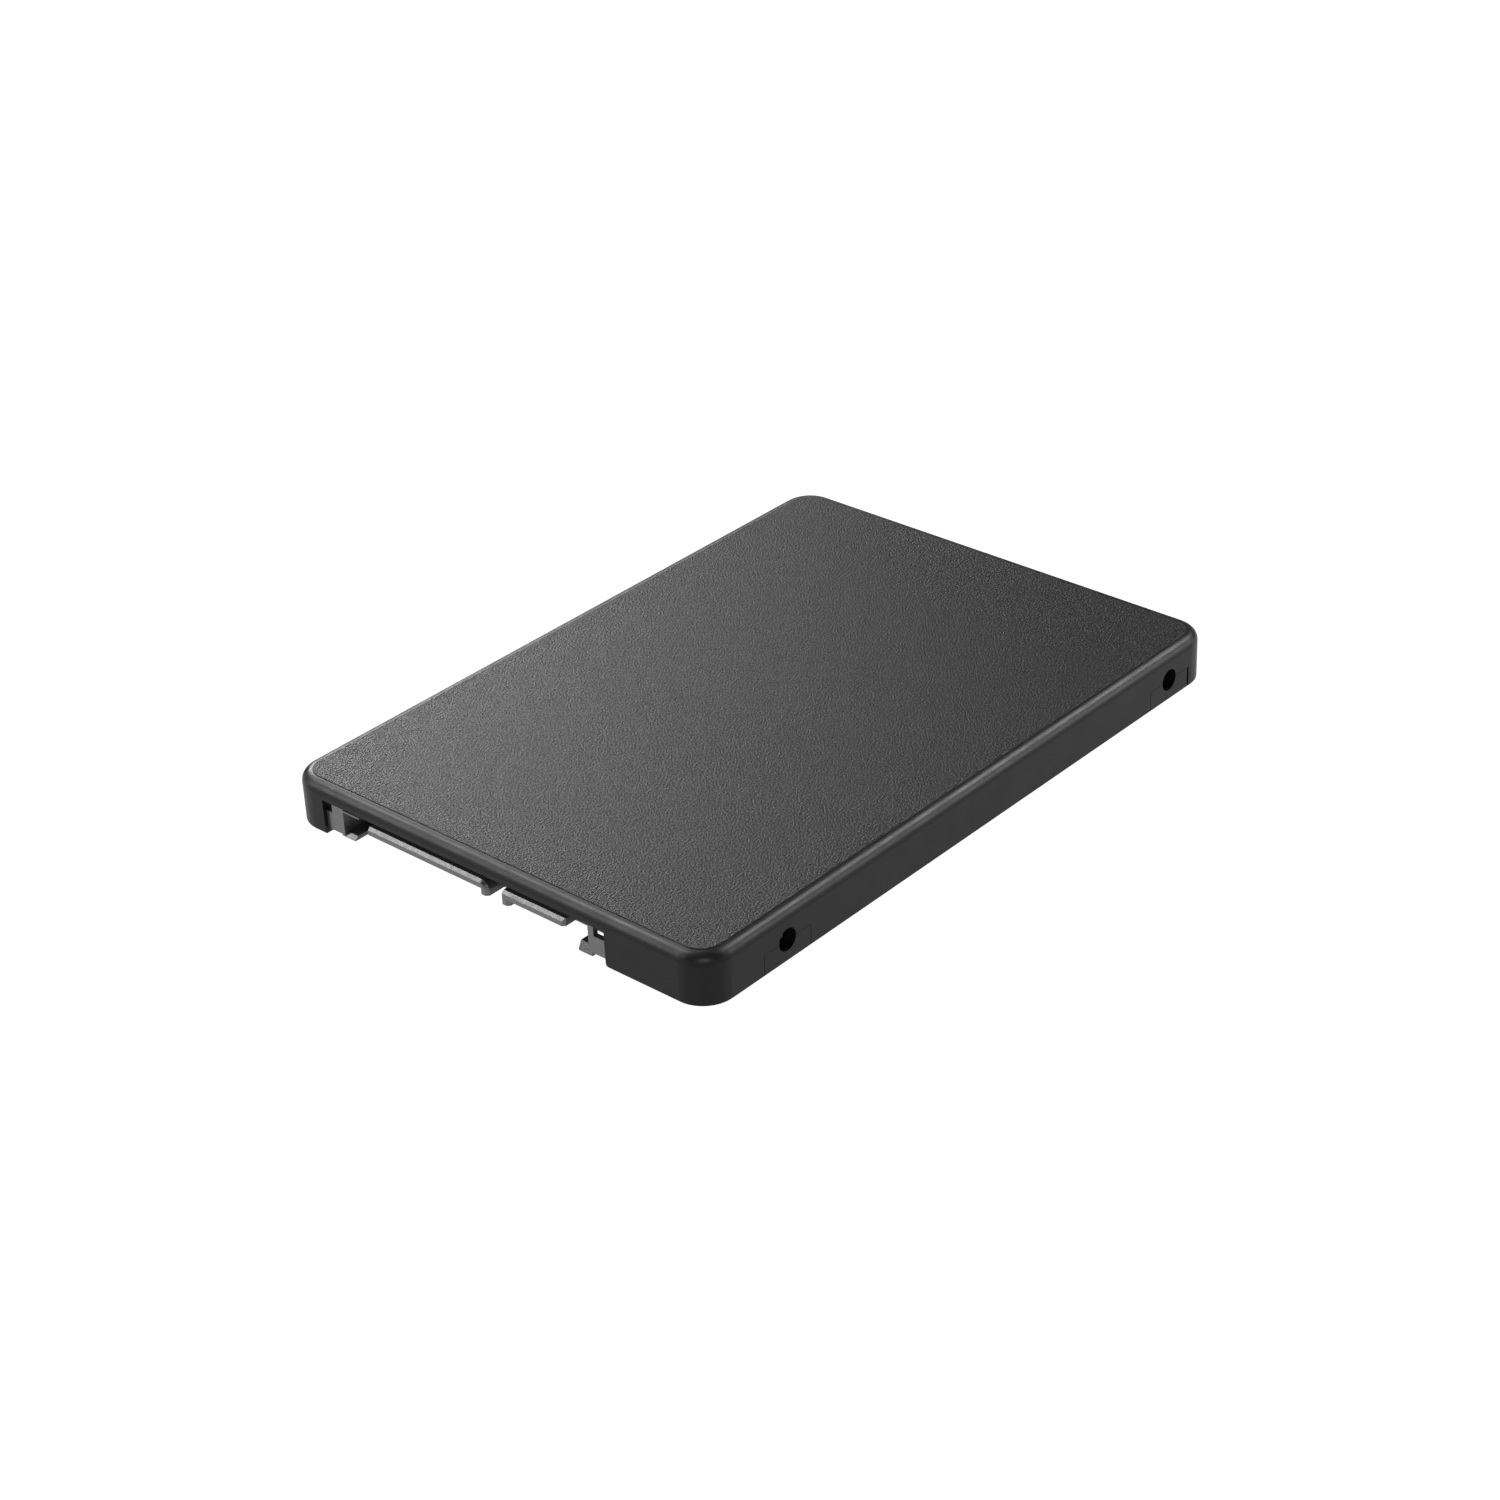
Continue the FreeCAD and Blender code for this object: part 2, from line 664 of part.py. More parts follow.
def case_screws():
    """Countersunk screws, from the underside into the posts of the top cover."""
    screws = []
    for across, along in case_screw_places():
        head = new_cone(across, along, "case_screw_sink", "case_screw_head_radius",
                        "case_screw_radius - screw_gap", "case_screw_head_depth")
        shank = new_cylinder(across, along, "case_screw_sink + case_screw_head_depth",
                             "case_screw_radius - screw_gap", "case_screw_length")
        screw = join(head, shank)
        screws.append(cut(screw, driver_cross(across, along, "case_screw_sink", "case_driver_reach")))
    group("case_screws", screws)


def board_screws():
    """Pan-head screws, from under the board into the posts of the top cover."""
    screws = []
    for across, along in board_hole_places():
        head_bottom = f"{BOARD_UNDERSIDE} - board_screw_head_depth"
        head = new_cylinder(across, along, head_bottom, "board_screw_head_radius",
                            "board_screw_head_depth")
        shank = new_cylinder(across, along, BOARD_UNDERSIDE, "board_screw_radius - screw_gap",
                             "board_screw_length")
        screw = join(head, shank)
        screws.append(cut(screw, driver_cross(across, along, head_bottom, "board_driver_reach")))
    group("board_screws", screws)


# Connector.

def housing_block(body, left, bottom, width, height, front_reach, back_reach):
    """A bar of the housing, drawn as seen from the front and padded towards the back."""
    face = new_sketch(body, "XZ_Plane", f"case_length / 2 - ({front_reach})")
    add_rectangle(face, f"connector_x + {left}", bottom, width, height)
    return pad(body, face, f"{back_reach} - ({front_reach})", backwards=True)


def connector_housing():
    """Base, power and signal tongues with their keys, guide arms and ear plates."""
    body = new_body("connector_housing")
    housing_block(body, "-base_width / 2", "base_bottom", "base_width", "base_top - base_bottom",
                  "base_front_reach", "base_back_reach")
    tongues(body)
    power_guide(body)
    signal_guide(body)
    ear_plates(body)
    contact_channels(body)


def tongues(body):
    """The two tongues, whose keys point down at their neighbouring ends."""
    tongue_height = "tongue_top - tongue_bottom"
    key_height = "tongue_top - key_bottom"
    power_key_left = "power_tongue_left + power_tongue_width - key_width"
    for left, bottom, width, height in (
            ("power_tongue_left", "tongue_bottom", "power_tongue_width", tongue_height),
            (power_key_left, "key_bottom", "key_width", key_height),
            ("signal_tongue_left", "tongue_bottom", "signal_tongue_width", tongue_height),
            ("signal_tongue_left", "key_bottom", "key_width", key_height)):
        housing_block(body, left, bottom, width, height, "tongue_front_reach", INTO_BASE)
    right_ends = [value(f"connector_x + {end}") for end in (
        "power_tongue_left + power_tongue_width", "signal_tongue_left + key_width",
        "signal_tongue_left + signal_tongue_width")]
    power_end = right_ends[0]
    front = value(from_front("tongue_front_reach"))
    top = sheet.tongue_top
    dress(body, "Fillet", "key_round", lambda box: level(box.ZMin, box.ZMax, top)
          and level(box.XMin, box.XMax, power_end))
    dress(body, "Chamfer", "tongue_lead_in", lambda box: level(box.YMin, box.YMax, front)
          and (level(box.ZMin, box.ZMax, top) or min(box.XLength, box.ZLength) > 0.1
               or any(level(box.XMin, box.XMax, end) for end in right_ends)))


def power_guide(body):
    """The guide arm at the power end: a channel, open towards the tongue, with a sloped foot."""
    left = "-base_width / 2"
    housing_block(body, left, "power_guide_bottom", "guide_wall",
                  "power_guide_lip_top - power_guide_bottom", "tongue_front_reach", INTO_BASE)
    housing_block(body, left, "power_guide_lip_bottom", "power_guide_lip_width",
                  "power_guide_lip_top - power_guide_lip_bottom", "tongue_front_reach", INTO_BASE)
    section = new_sketch(body, "YZ_Plane", f"connector_x + {left} + guide_wall")
    add_foot(section, "power", INTO_BASE)
    pad(body, section, "power_guide_foot_width - guide_wall")


def add_foot(sketch, arm, back_reach):
    """A guide foot's outline from the side: a low front face, a slope and a level top."""
    front, bottom, top = map(value, (from_front("tongue_front_reach"), f"{arm}_guide_bottom",
                                     f"{arm}_guide_foot_top"))
    back = value(from_front(back_reach))
    nose = bottom + value(f"{arm}_guide_slope_start")
    crest = front + value(f"{arm}_guide_slope_length")
    points = [Vector(front, bottom), Vector(back, bottom), Vector(back, top), Vector(crest, top),
              Vector(front, nose)]
    lines = []
    for start, end in zip(points, points[1:] + points[:1]):
        lines.append(sketch.addGeometry(Part.LineSegment(start, end), False))
    for line, following in zip(lines, lines[1:] + lines[:1]):
        sketch.addConstraint(Sketcher.Constraint("Coincident", line, 2, following, 1))
    underside, rear, level_top, slope, front_face = lines
    for line in (underside, level_top):
        sketch.addConstraint(Sketcher.Constraint("Horizontal", line))
    for line in (rear, front_face):
        sketch.addConstraint(Sketcher.Constraint("Vertical", line))
    hold(sketch, "front", Sketcher.Constraint("DistanceX", -1, 1, underside, 1, front),
         from_front("tongue_front_reach"))
    hold(sketch, "back", Sketcher.Constraint("DistanceX", -1, 1, rear, 1, back),
         from_front(back_reach))
    hold(sketch, "bottom", Sketcher.Constraint("DistanceY", -1, 1, underside, 1, bottom),
         f"{arm}_guide_bottom")
    hold(sketch, "top", Sketcher.Constraint("DistanceY", -1, 1, level_top, 1, top),
         f"{arm}_guide_foot_top")
    hold(sketch, "nose", Sketcher.Constraint("DistanceY", front_face, 2, front_face, 1, nose - bottom),
         f"{arm}_guide_slope_start")
    hold(sketch, "crest", Sketcher.Constraint("DistanceX", slope, 2, slope, 1, crest - front),
         f"{arm}_guide_slope_length")


def signal_guide(body):
    """The guide arm at the signal end: a short foot, a low wall behind it and a tall front post."""
    wall_left = "base_width / 2 - guide_wall"
    low = "signal_guide_foot_top - signal_guide_bottom"
    foot = new_sketch(body, "YZ_Plane", "connector_x + base_width / 2 - signal_guide_width")
    add_foot(foot, "signal", "signal_guide_foot_reach")
    pad(body, foot, "signal_guide_width")
    housing_block(body, wall_left, "signal_guide_bottom", "guide_wall", low,
                  "signal_guide_foot_reach - 0.1", INTO_BASE)
    housing_block(body, wall_left, "signal_guide_bottom", "guide_wall",
                  "signal_guide_post_top - signal_guide_bottom", "tongue_front_reach",
                  "ear_back_reach")


def ear_plates(body):
    """Thin plates outside the guide arms, out to the sides of the opening."""
    full_width = "(opening_width - base_width) / 2 + guide_wall - ear_gap"
    for name, side in (("power", -1), ("signal", 1)):
        full_left = "ear_gap - opening_width / 2" if side < 0 else "base_width / 2 - guide_wall"
        tall_width = f"{name}_ear_tall_width + guide_wall"
        tall_left = f"-base_width / 2 - {name}_ear_tall_width" if side < 0 else full_left
        housing_block(body, full_left, "ear_bottom", full_width, f"{name}_ear_shoulder - ear_bottom",
                      "ear_front_reach", "ear_back_reach")
        housing_block(body, tall_left, "ear_bottom", tall_width, "ear_top - ear_bottom",
                      "ear_front_reach", "ear_back_reach")


def contact_places(count, middle):
    """The X places of the contacts of one tongue, from the power end on."""
    for number in range(count):
        yield f"connector_x + {middle} + {number - (count - 1) / 2} * contact_pitch"


def contact_front(number, long_ones):
    """The reach of a contact's front end: some contacts are longer, to mate first."""
    return "contact_front_reach - long_contact_lead" if number in long_ones else "contact_front_reach"


def contact_channels(body):
    """Channels that the contacts and the hold-downs fill, from the back of the housing."""
    rows = ((POWER_CONTACTS, "power_contact_middle", LONG_POWER_CONTACTS),
            (SIGNAL_CONTACTS, "signal_contact_middle", LONG_SIGNAL_CONTACTS))
    for reach in ("contact_front_reach", "contact_front_reach - long_contact_lead"):
        channels = new_sketch(body, "XZ_Plane", "case_length / 2 - base_back_reach")
        for count, middle, long_ones in rows:
            for number, across in enumerate(contact_places(count, middle), start=1):
                if contact_front(number, long_ones) == reach:
                    add_rectangle(channels, f"{across} - contact_width / 2", "contact_bottom",
                                  "contact_width", "contact_thickness")
        pocket(body, channels, f"base_back_reach - ({reach})", backwards=True)
    nails = new_sketch(body, "XZ_Plane", "case_length / 2 - base_back_reach")
    for side in SIDES:
        add_rectangle(nails, f"connector_x + {side} * hold_down_offset - hold_down_width / 2",
                      "contact_bottom", "hold_down_width", "contact_thickness")
    pocket(body, nails, "base_back_reach - hold_down_front_reach", backwards=True)


def contacts(label, count, middle, long_ones):
    """Flat metal strips along the underside of a tongue and out under the board."""
    strips = []
    for number, across in enumerate(contact_places(count, middle), start=1):
        front = contact_front(number, long_ones)
        strips.append(new_box(f"{across} - contact_width / 2", from_front(front), "contact_bottom",
                              "contact_width", f"contact_tail_reach - ({front})", "contact_thickness"))
    group(label, strips)


def hold_downs():
    """Metal strips at the ends of the housing, soldered under the board."""
    for side, side_name in zip(SIDES, ("left", "right")):
        strip = new_box(f"connector_x + {side} * hold_down_offset - hold_down_width / 2",
                        from_front("hold_down_front_reach"), "contact_bottom", "hold_down_width",
                        "hold_down_back_reach - hold_down_front_reach", "contact_thickness")
        sub_part(strip, f"connector_hold_down_{side_name}")


# Circuit board and what is on it.

def circuit_board():
    body = new_body("circuit_board")
    outline = new_sketch(body, "XY_Plane", BOARD_UNDERSIDE)
    add_rectangle(outline, "-board_width / 2", from_front("board_front_reach"), "board_width",
                  "board_length")
    pad(body, outline, "board_thickness")
    dress(body, "Fillet", "board_corner", upright)
    holes = new_sketch(body, "XY_Plane", BOARD_UNDERSIDE)
    for across, along in board_hole_places():
        add_circle(holes, across, along, "board_hole_radius")
    pocket(body, holes)


def package(label, across, along, width, length, thickness, under=False):
    """A moulded chip: a slab with bevelled far edges and a dot at its first corner."""
    body = new_body(label)
    seat = BOARD_UNDERSIDE if under else BOARD_TOP
    face = f"{seat} - {thickness}" if under else f"{seat} + {thickness}"
    middle = on_board(along)
    outline = new_sketch(body, "XY_Plane", seat)
    add_rectangle(outline, f"{across} - {width} / 2", f"{middle} - {length} / 2", width, length)
    pad(body, outline, thickness, backwards=under)
    far = body.Shape.BoundBox.ZMin if under else body.Shape.BoundBox.ZMax
    dress(body, "Chamfer", "package_bevel", lambda box: level(box.ZMin, box.ZMax, far))
    dot = new_sketch(body, "XY_Plane", face)
    add_circle(dot, f"{across} - {width} / 2 + package_dot_inset",
               f"{middle} - {length} / 2 + package_dot_inset", "package_dot_radius")
    pocket(body, dot, "package_dot_depth", backwards=under)


def chips():
    package("controller_chip", "controller_x", "controller_along", "controller_size",
            "controller_size", "controller_thickness")
    package("cache_memory_chip", "cache_x", "cache_along", "cache_width", "cache_length",
            "cache_thickness")
    flash_places = [(side, under) for under in (False, True) for side in SIDES]
    for number, (side, under) in enumerate(flash_places, start=1):
        package(f"flash_memory_chip_{number}", f"{side} * flash_offset", "flash_along",
                "memory_width", "memory_length", "memory_thickness", under)
    package("power_regulator_chip", "regulator_x", "regulator_along", "regulator_size",
            "regulator_size", "regulator_thickness")
    package("boot_memory_chip", "boot_chip_x", "boot_chip_along", "boot_chip_width",
            "boot_chip_length", "boot_chip_thickness")


def plain_package(label, across, along, width, length, thickness):
    """An upright block on the board, whose upright corners are still sharp."""
    body = new_body(label)
    outline = new_sketch(body, "XY_Plane", BOARD_TOP)
    add_rectangle(outline, f"{across} - {width} / 2", f"{on_board(along)} - {length} / 2", width,
                  length)
    pad(body, outline, thickness)
    return body


def power_coils():
    """Two chokes in a row behind the regulator."""
    for number, along in enumerate(("first_coil_along", "second_coil_along"), start=1):
        body = plain_package(f"power_coil_{number}", "regulator_x", along, "coil_size", "coil_size",
                             "coil_thickness")
        dress(body, "Chamfer", "coil_corner", upright)


def clock_oscillator():
    body = plain_package("clock_oscillator", "boot_chip_x", "oscillator_along", "oscillator_width",
                         "oscillator_length", "oscillator_thickness")
    dress(body, "Fillet", "oscillator_corner", upright)


def board_box(kind, across, along, under=False):
    """A plain two-ended component, placed on the board by its middle."""
    bottom = f"{BOARD_UNDERSIDE} - {kind}_thickness" if under else BOARD_TOP
    return new_box(f"{across} - {kind}_width / 2", f"{on_board(along)} - {kind}_length / 2",
                   bottom, f"{kind}_width", f"{kind}_length", f"{kind}_thickness")


def small_components():
    sub_part(board_box("fuse", "fuse_x", "fuse_along"), "input_fuse")
    tantalums = []
    for step in range(TANTALUMS):
        tantalums.append(board_box("tantalum", f"tantalum_x + {step} * tantalum_pitch",
                                   "tantalum_along"))
    group("tantalum_capacitors", tantalums)
    ceramics = []
    for step in range(CERAMICS_PER_ROW):
        across = f"ceramic_x + {step} * small_pitch"
        ceramics.append(board_box("ceramic", across, "ceramic_front_along"))
        ceramics.append(board_box("ceramic", across, "ceramic_rear_along"))
        ceramics.append(board_box("ceramic", across, "ceramic_under_along", under=True))
    group("ceramic_capacitors", ceramics)
    resistors = []
    for step in range(RESISTORS_PER_COLUMN):
        for column in ("left", "right"):
            resistors.append(board_box("resistor", f"resistor_{column}_x",
                                       f"resistor_{column}_along + {step} * small_pitch"))
    group("chip_resistors", resistors)


def thermal_pad(label, across, along, width, length, thickness):
    """A soft pad that carries heat from the top of a package to the top cover."""
    face = f"({BOARD_TOP} + {thickness})"
    pad_block = new_box(f"{across} - {width} / 2 + thermal_pad_inset",
                        f"{on_board(along)} - {length} / 2 + thermal_pad_inset", face,
                        f"{width} - 2 * thermal_pad_inset", f"{length} - 2 * thermal_pad_inset",
                        f"{CEILING} - {face}")
    sub_part(pad_block, label)


def thermal_pads():
    thermal_pad("controller_thermal_pad", "controller_x", "controller_along", "controller_size",
                "controller_size", "controller_thickness")
    for side, side_name in zip(SIDES, ("left", "right")):
        thermal_pad(f"flash_thermal_pad_{side_name}", f"{side} * flash_offset", "flash_along",
                    "memory_width", "memory_length", "memory_thickness")


def write_parts():
    """Check every object and sub-part, then write each sub-part to its own file."""
    document.recompute()
    for thing in document.Objects:
        if {"Invalid", "Error"} & set(thing.State):
            raise RuntimeError(f"{thing.Label} failed: {thing.State}")
    for piece in sub_parts:
        if piece.Shape.isNull() or not piece.Shape.isValid():
            raise RuntimeError(f"{piece.Label} has no valid shape")
    os.makedirs("parts", exist_ok=True)
    for piece in sub_parts:
        piece.Shape.exportStep(f"parts/{piece.Label}.step")
        box = piece.Shape.BoundBox
        print(f"{piece.Label}: {len(piece.Shape.Solids)} solids, {piece.Shape.Volume:.2f} mm3, "
              f"x {box.XMin:.2f} {box.XMax:.2f}, y {box.YMin:.2f} {box.YMax:.2f}, "
              f"z {box.ZMin:.2f} {box.ZMax:.2f}")


top_cover()
bottom_cover()
underside_label()
mounting_inserts()
case_screws()
board_screws()
connector_housing()
contacts("power_contacts", POWER_CONTACTS, "power_contact_middle", LONG_POWER_CONTACTS)
contacts("signal_contacts", SIGNAL_CONTACTS, "signal_contact_middle", LONG_SIGNAL_CONTACTS)
hold_downs()
circuit_board()
chips()
power_coils()
clock_oscillator()
small_components()
thermal_pads()
write_parts()
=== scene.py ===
"""Looks of a 2.5 inch solid state drive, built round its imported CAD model. Lengths are in metres."""

import json
import math

import bpy
from mathutils import Matrix, Vector


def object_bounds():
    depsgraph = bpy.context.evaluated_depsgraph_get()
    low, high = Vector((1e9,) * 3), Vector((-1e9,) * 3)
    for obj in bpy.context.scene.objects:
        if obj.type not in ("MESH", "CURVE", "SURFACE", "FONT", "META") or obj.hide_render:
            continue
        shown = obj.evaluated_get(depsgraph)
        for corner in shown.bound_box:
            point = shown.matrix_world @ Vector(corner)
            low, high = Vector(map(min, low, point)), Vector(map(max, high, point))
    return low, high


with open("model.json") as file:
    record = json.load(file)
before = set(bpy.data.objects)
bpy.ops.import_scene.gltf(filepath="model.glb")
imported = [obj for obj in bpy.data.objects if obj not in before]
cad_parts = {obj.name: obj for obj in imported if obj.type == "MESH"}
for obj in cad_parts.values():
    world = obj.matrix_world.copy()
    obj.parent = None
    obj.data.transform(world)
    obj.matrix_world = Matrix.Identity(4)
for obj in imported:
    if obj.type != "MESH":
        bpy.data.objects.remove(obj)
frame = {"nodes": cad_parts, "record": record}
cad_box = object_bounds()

MM = 0.001
CASE_HALF_X = cad_box[1].x
CASE_HALF_Y = cad_box[1].y
CASE_TOP = cad_box[1].z
CASE_CORNER = 4.3 * MM

# The case's plastic: a grained panel on top, and a glossier rim that turns satin down the wall.
PANEL_INSET = 1.4 * MM
PANEL_BLUR = 0.2 * MM
RIM_GLOSS_DROP = 1.3 * MM
RIM_BLUR = 0.6 * MM
PLASTIC_LEVEL = 0.006

# Screw holes of the mounting inserts.
HOLE_RADIUS = 1.25 * MM
HOLE_HALF_SPAN_X = 30.86 * MM
HOLE_HALF_SPAN_Y = 38.3 * MM
HOLE_MIDDLE_Y = 2.3 * MM
HOLE_HEIGHT = 3.0 * MM
THREAD_PITCH = 0.5 * MM
THREAD_DEPTH = 0.2 * MM

# Small components on the board.
X_AXIS = 0
Y_AXIS = 1
SMALL_LENGTH = 1.0 * MM
SMALL_PITCH = 1.7 * MM
TANTALUM_LENGTH = 3.5 * MM
TANTALUM_PITCH = 5.0 * MM

# Print on the label and the chips: half of each row is ink, and just over half of a row is dashes.
ROW_INK = 0.5
DASH_LEVEL = 0.45
ROW_SHIFT = 7.3

# The camera, at the photograph's viewing angle.
CAMERA_AZIMUTH = 42.316
CAMERA_ELEVATION = 30.498
CAMERA_ROLL = -2.515
CAMERA_DISTANCE = 420.77 * MM
CAMERA_AIM = Vector((-1.03, -1.513, -0.722)) * MM
CAMERA_LENS = 78.286
SENSOR_WIDTH = 36.0
CLIP_START = 0.01
CLIP_END = 50.0

# The studio.
FLOOR_GLOW = 1.0
FLOOR_RADIUS = 6.0
FLOOR_SIDES = 96
FLOOR_GAP = 0.02 * MM
LIGHT_DISTANCE = 1.2
WORLD_LEVEL = 0.01


# Node trees.

class Shader:
    """A material's node tree, with one short call for each kind of node used here."""

    def __init__(self, name):
        self.material = bpy.data.materials.new(name)
        self.material.use_nodes = True
        self.nodes = self.material.node_tree.nodes
        self.links = self.material.node_tree.links
        self.surface = self.nodes["Principled BSDF"]
        self.coordinates = self.nodes.new("ShaderNodeTexCoord").outputs
        self.place = self.coordinates["Object"]

    def put(self, value, socket):
        if isinstance(value, bpy.types.NodeSocket):
            self.links.new(value, socket)
        else:
            socket.default_value = value

    def add(self, kind, settings=None, sockets=None):
        """A new node. Each socket is given a number, a colour or another node's output."""
        node = self.nodes.new(kind)
        for name, value in (settings or {}).items():
            setattr(node, name, value)
        for name, value in (sockets or {}).items():
            self.put(value, node.inputs[name])
        return node

    def math(self, operation, first, second=0.0):
        sockets = {0: first, 1: second}
        return self.add("ShaderNodeMath", {"operation": operation}, sockets).outputs[0]

    def parts(self, vector):
        parts = self.add("ShaderNodeSeparateXYZ", sockets={"Vector": vector}).outputs
        return parts["X"], parts["Y"], parts["Z"]

    def axes(self):
        return self.parts(self.place)

    def stretched(self, x, y, z):
        """The place, scaled differently along each axis."""
        settings = {"operation": "MULTIPLY"}
        node = self.add("ShaderNodeVectorMath", settings, {0: self.place, 1: (x, y, z)})
        return node.outputs[0]

    def noise(self, size, detail=2.0, place=None):
        """Noise from 0 to 1, whose blobs are about as large as size."""
        sockets = {"Vector": place or self.place, "Scale": 1 / size, "Detail": detail}
        return self.add("ShaderNodeTexNoise", sockets=sockets).outputs["Fac"]

    def step(self, value, low, high, to_low=0.0, to_high=1.0):
        """A smooth change from one level to another while the value goes from low to high."""
        sockets = {"Value": value, "From Min": low, "From Max": high, "To Min": to_low,
                   "To Max": to_high}
        settings = {"interpolation_type": "SMOOTHSTEP"}
        return self.add("ShaderNodeMapRange", settings, sockets).outputs["Result"]

    def spread(self, noise, low, high):
        """Noise, stretched to run from low to high. Most noise lies between 0.3 and 0.7."""
        sockets = {"Value": noise, "From Min": 0.3, "From Max": 0.7, "To Min": low, "To Max": high}
        return self.add("ShaderNodeMapRange", sockets=sockets).outputs["Result"]

    def every(self, first, *masks):
        """The masks multiplied together."""
        for mask in masks:
            first = self.math("MULTIPLY", first, mask)
        return first

    def any(self, first, *masks):
        """The greatest of the masks."""
        for mask in masks:
            first = self.math("MAXIMUM", first, mask)
        return first

    def box(self, x, y, left, right, front, back):
        """1 inside a rectangle and 0 outside it."""
        return self.every(self.math("GREATER_THAN", x, left), self.math("LESS_THAN", x, right),
                          self.math("GREATER_THAN", y, front), self.math("LESS_THAN", y, back))

    def print_rows(self, pitch, word):
        """Rows of dashes along X that stand for small print."""
        x, y, _ = self.axes()
        row = self.math("DIVIDE", y, pitch)
        number = self.math("FLOOR", row)
        sockets = {"X": self.math("DIVIDE", x, word), "Y": self.math("MULTIPLY", number, ROW_SHIFT)}
        place = self.add("ShaderNodeCombineXYZ", sockets=sockets).outputs["Vector"]
        dashes = self.math("GREATER_THAN", self.noise(1.0, detail=1.0, place=place), DASH_LEVEL)
        inked = self.math("LESS_THAN", self.math("FRACT", row), ROW_INK)
        return self.every(dashes, inked)

    def centred(self, value, middle, half_span):
        """Distance from the nearer of two places that lie evenly about a middle."""
        offset = self.math("ABSOLUTE", self.math("SUBTRACT", value, middle))
        return self.math("SUBTRACT", offset, half_span)

    def within(self, first, second):
        """1 inside the threaded holes, given two distances from a hole's axis."""
        square = self.math("ADD", self.math("MULTIPLY", first, first),
                           self.math("MULTIPLY", second, second))
        return self.math("LESS_THAN", square, (HOLE_RADIUS + THREAD_DEPTH) ** 2)

    def turns(self, value):
        """The height of a thread's turns along its axis."""
        saw = self.math("FRACT", self.math("DIVIDE", value, THREAD_PITCH))
        return self.math("MULTIPLY", self.math("ABSOLUTE", self.math("SUBTRACT", saw, 0.5)), 2.0)

    def blend(self, factor, first, second):
        """One colour where the factor is 0 and another where it is 1. Colour sockets go by number."""
        mix = self.add("ShaderNodeMix", {"data_type": "RGBA"}, {0: factor, 6: first, 7: second})
        return mix.outputs[2]

    def blend_value(self, factor, first, second):
        """One number where the factor is 0 and another where it is 1."""
        mix = self.add("ShaderNodeMix", {"data_type": "FLOAT"}, {0: factor, 2: first, 3: second})
        return mix.outputs[0]

    def bump(self, height, depth, normal=None):
        """Relief: a height from 0 to 1 stands for the depth."""
        sockets = {"Height": height, "Distance": depth}
        if normal is not None:
            sockets["Normal"] = normal
        return self.add("ShaderNodeBump", sockets=sockets).outputs["Normal"]

    def finish(self, **values):
        """Set the surface's sockets and return the material."""
        for name, value in values.items():
            self.put(value, self.surface.inputs[name.replace("_", " ")])
        return self.material


def grey(level):
    return (level, level, level, 1.0)


def darker(color, share):
    return tuple(part * share for part in color[:3]) + (1.0,)


def node_box(name):
    """Two opposite corners of a CAD node."""
    corners = [Vector(corner) for corner in frame["nodes"][name].bound_box]
    low = Vector([min(corner[axis] for corner in corners) for axis in range(3)])
    high = Vector([max(corner[axis] for corner in corners) for axis in range(3)])
    return low, high


def inside_case_outline(shader):
    """How far a place lies inside the outline of the case, seen from above."""
    x, y, _ = shader.axes()
    over_x = shader.math("SUBTRACT", shader.math("ABSOLUTE", x), CASE_HALF_X - CASE_CORNER)
    over_y = shader.math("SUBTRACT", shader.math("ABSOLUTE", y), CASE_HALF_Y - CASE_CORNER)
    out_x = shader.math("MAXIMUM", over_x, 0.0)
    out_y = shader.math("MAXIMUM", over_y, 0.0)
    square = shader.math("ADD", shader.math("POWER", out_x, 2.0), shader.math("POWER", out_y, 2.0))
    outside = shader.math("SQRT", square)
    within = shader.math("MINIMUM", shader.math("MAXIMUM", over_x, over_y), 0.0)
    return shader.math("SUBTRACT", CASE_CORNER, shader.math("ADD", outside, within))


# Materials.

